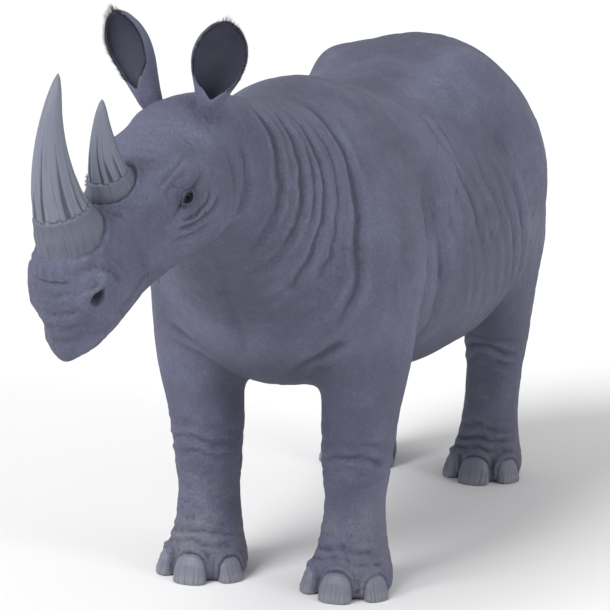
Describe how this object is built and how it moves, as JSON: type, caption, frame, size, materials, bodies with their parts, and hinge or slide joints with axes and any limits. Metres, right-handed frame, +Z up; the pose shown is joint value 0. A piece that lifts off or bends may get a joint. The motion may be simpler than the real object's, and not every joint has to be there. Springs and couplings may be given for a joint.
{
  "type": "life-size black rhinoceros model",
  "caption": "Life-size still model of an adult black rhinoceros, standing square with its head up and turned to its right, on rounded three-nailed feet.",
  "frame": {"origin": "on the floor, under the middle of the whole animal's box", "axes": "-Y the way the animal faces, +X its left side, +Z up"},
  "size_m": [0.9318, 2.9134, 1.9036],
  "materials": {
    "hide": "dry slate-grey hide with fine cracks and folds",
    "ear_skin": "thin hide, darker inside the cup",
    "horn": "keratin, polished at the tip, frayed and matt at the base",
    "nail": "worn keratin with lengthwise grooves",
    "eye": "wet gloss",
    "bristle": "stiff dark hair"
  },
  "bodies": {
    "root": {"nail_front_left_inner": "nail", "nail_front_left_middle": "nail", "nail_front_left_outer": "nail", "leg_front_left_upper": "hide", "leg_front_left_lower": "hide", "foot_front_left": "hide", "nail_front_right_inner": "nail", "nail_front_right_middle": "nail", "nail_front_right_outer": "nail", "leg_front_right_upper": "hide", "leg_front_right_lower": "hide", "foot_front_right": "hide", "nail_hind_left_inner": "nail", "nail_hind_left_middle": "nail", "nail_hind_left_outer": "nail", "leg_hind_left_upper": "hide", "leg_hind_left_lower": "hide", "foot_hind_left": "hide", "nail_hind_right_inner": "nail", "nail_hind_right_middle": "nail", "nail_hind_right_outer": "nail", "leg_hind_right_upper": "hide", "leg_hind_right_lower": "hide", "foot_hind_right": "hide", "tail": "hide", "forequarters": "hide", "barrel": "hide", "hindquarters": "hide", "neck": "hide", "head": "hide", "lower_jaw": "hide", "tail_tuft": "bristle", "ear_left": "ear_skin", "eye_left": "eye", "ear_right": "ear_skin", "eye_right": "eye", "horn_front": "horn", "horn_rear": "horn"}
  },
  "joints": []
}
